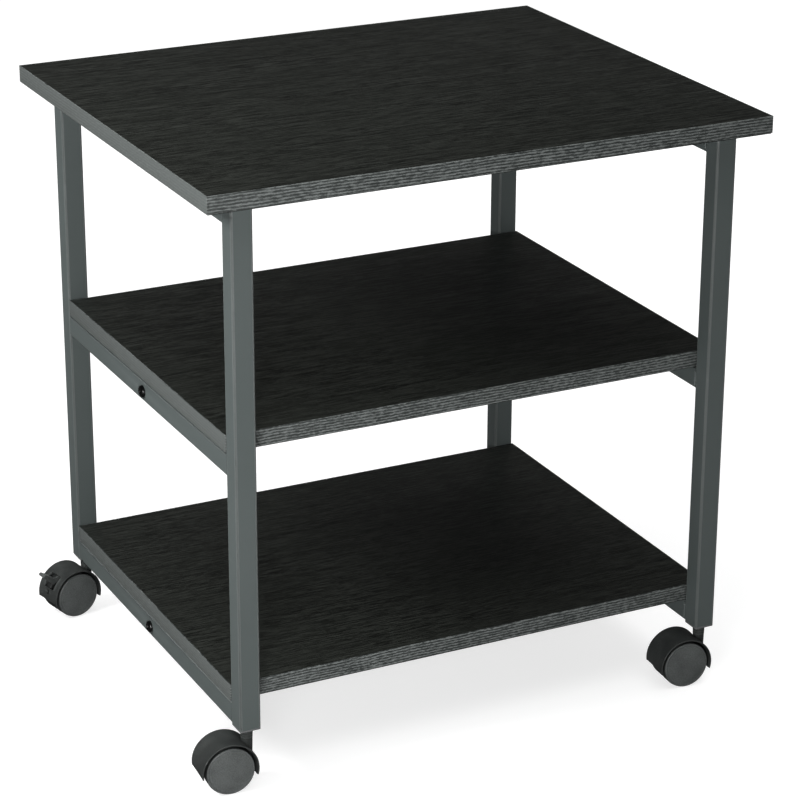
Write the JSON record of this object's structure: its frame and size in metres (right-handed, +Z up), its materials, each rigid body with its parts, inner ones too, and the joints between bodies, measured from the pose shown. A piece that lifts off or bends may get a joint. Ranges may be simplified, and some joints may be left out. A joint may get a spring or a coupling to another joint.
{
  "type": "mobile printer stand",
  "caption": "Open printer stand on casters: a square-tube frame with an overhanging top board and shelves below, rear casters with brake levers.",
  "frame": {"origin": "on the floor, in the middle of the footprint", "axes": "+Z up, +X to the right along the boards' long side, the front faces -Y"},
  "size_m": [0.6344, 0.5, 0.6161],
  "materials": {
    "laminate_board": "black woodgrain laminate on particle board, embossed, satin",
    "edge_band": "dark grey woodgrain edge band",
    "powder_coated_steel": "graphite grey powder coat, satin, fine texture",
    "zinc_steel": "zinc plated steel",
    "black_bolt": "black zinc plated steel",
    "insert_plastic": "moulded dark grey plastic",
    "hood_nylon": "black nylon with a fine spark texture",
    "wheel_nylon": "dark grey nylon, satin"
  },
  "bodies": {
    "root": {"lower_shelf": "laminate_board", "middle_shelf": "laminate_board", "top_board": "laminate_board", "post_front_left": "powder_coated_steel", "post_front_right": "powder_coated_steel", "post_rear_left": "powder_coated_steel", "post_rear_right": "powder_coated_steel", "lower_rail_left": "powder_coated_steel", "lower_rail_right": "powder_coated_steel", "middle_rail_left": "powder_coated_steel", "middle_rail_right": "powder_coated_steel", "top_rail_left": "powder_coated_steel", "top_rail_right": "powder_coated_steel", "lower_cross_bar": "powder_coated_steel", "middle_cross_bar": "powder_coated_steel", "lower_screw_front_left": "zinc_steel", "lower_screw_rear_left": "zinc_steel", "lower_screw_front_right": "zinc_steel", "lower_screw_rear_right": "zinc_steel", "middle_screw_front_left": "zinc_steel", "middle_screw_rear_left": "zinc_steel", "middle_screw_front_right": "zinc_steel", "middle_screw_rear_right": "zinc_steel", "top_screw_front_left": "zinc_steel", "top_screw_rear_left": "zinc_steel", "top_screw_front_right": "zinc_steel", "top_screw_rear_right": "zinc_steel", "lower_bolt_left": "black_bolt", "lower_bolt_right": "black_bolt", "middle_bolt_left": "black_bolt", "middle_bolt_right": "black_bolt", "insert_front_left": "insert_plastic", "stem_front_left": "zinc_steel", "insert_front_right": "insert_plastic", "stem_front_right": "zinc_steel", "insert_rear_left": "insert_plastic", "stem_rear_left": "zinc_steel", "insert_rear_right": "insert_plastic", "stem_rear_right": "zinc_steel"},
    "caster_front_left": {"hood_front_left": "hood_nylon", "axle_front_left": "zinc_steel"},
    "roller_front_left_a": {"wheel_front_left_a": "wheel_nylon"},
    "roller_front_left_b": {"wheel_front_left_b": "wheel_nylon"},
    "caster_front_right": {"hood_front_right": "hood_nylon", "axle_front_right": "zinc_steel"},
    "roller_front_right_a": {"wheel_front_right_a": "wheel_nylon"},
    "roller_front_right_b": {"wheel_front_right_b": "wheel_nylon"},
    "caster_rear_left": {"hood_rear_left": "hood_nylon", "axle_rear_left": "zinc_steel"},
    "roller_rear_left_a": {"wheel_rear_left_a": "wheel_nylon"},
    "roller_rear_left_b": {"wheel_rear_left_b": "wheel_nylon"},
    "brake_rear_left": {"brake_lever_rear_left": "hood_nylon"},
    "caster_rear_right": {"hood_rear_right": "hood_nylon", "axle_rear_right": "zinc_steel"},
    "roller_rear_right_a": {"wheel_rear_right_a": "wheel_nylon"},
    "roller_rear_right_b": {"wheel_rear_right_b": "wheel_nylon"},
    "brake_rear_right": {"brake_lever_rear_right": "hood_nylon"}
  },
  "joints": [
    {"name": "swivel_front_left", "type": "hinge", "parent": "root", "child": "caster_front_left", "pos_m": [-0.259, -0.222, 0.05982], "axis": [0, 0, 1], "continuous": true},
    {"name": "roll_front_left_a", "type": "hinge", "parent": "caster_front_left", "child": "roller_front_left_a", "pos_m": [-0.28092, -0.22008, 0.025], "axis": [0.0872, 0.9962, 0], "continuous": true},
    {"name": "roll_front_left_b", "type": "hinge", "parent": "caster_front_left", "child": "roller_front_left_b", "pos_m": [-0.28092, -0.22008, 0.025], "axis": [0.0872, 0.9962, 0], "continuous": true},
    {"name": "swivel_front_right", "type": "hinge", "parent": "root", "child": "caster_front_right", "pos_m": [0.259, -0.222, 0.05982], "axis": [0, 0, 1], "continuous": true},
    {"name": "roll_front_right_a", "type": "hinge", "parent": "caster_front_right", "child": "roller_front_right_a", "pos_m": [0.23705, -0.22046, 0.025], "axis": [0.0698, 0.9976, 0], "continuous": true},
    {"name": "roll_front_right_b", "type": "hinge", "parent": "caster_front_right", "child": "roller_front_right_b", "pos_m": [0.23705, -0.22046, 0.025], "axis": [0.0698, 0.9976, 0], "continuous": true},
    {"name": "swivel_rear_left", "type": "hinge", "parent": "root", "child": "caster_rear_left", "pos_m": [-0.259, 0.222, 0.05982], "axis": [0, 0, 1], "continuous": true},
    {"name": "roll_rear_left_a", "type": "hinge", "parent": "caster_rear_left", "child": "roller_rear_left_a", "pos_m": [-0.28052, 0.21743, 0.025], "axis": [-0.2079, 0.9781, 0], "continuous": true},
    {"name": "roll_rear_left_b", "type": "hinge", "parent": "caster_rear_left", "child": "roller_rear_left_b", "pos_m": [-0.28052, 0.21743, 0.025], "axis": [-0.2079, 0.9781, 0], "continuous": true},
    {"name": "brake_rear_left", "type": "hinge", "parent": "caster_rear_left", "child": "brake_rear_left", "pos_m": [-0.27814, 0.21793, 0.04485], "axis": [0.2079, -0.9781, 0], "range_deg": [0, 7]},
    {"name": "swivel_rear_right", "type": "hinge", "parent": "root", "child": "caster_rear_right", "pos_m": [0.259, 0.222, 0.05982], "axis": [0, 0, 1], "continuous": true},
    {"name": "roll_rear_right_a", "type": "hinge", "parent": "caster_rear_right", "child": "roller_rear_right_a", "pos_m": [0.28052, 0.21743, 0.025], "axis": [-0.2079, -0.9781, 0], "continuous": true},
    {"name": "roll_rear_right_b", "type": "hinge", "parent": "caster_rear_right", "child": "roller_rear_right_b", "pos_m": [0.28052, 0.21743, 0.025], "axis": [-0.2079, -0.9781, 0], "continuous": true},
    {"name": "brake_rear_right", "type": "hinge", "parent": "caster_rear_right", "child": "brake_rear_right", "pos_m": [0.27814, 0.21793, 0.04485], "axis": [0.2079, 0.9781, 0], "range_deg": [0, 7]}
  ]
}
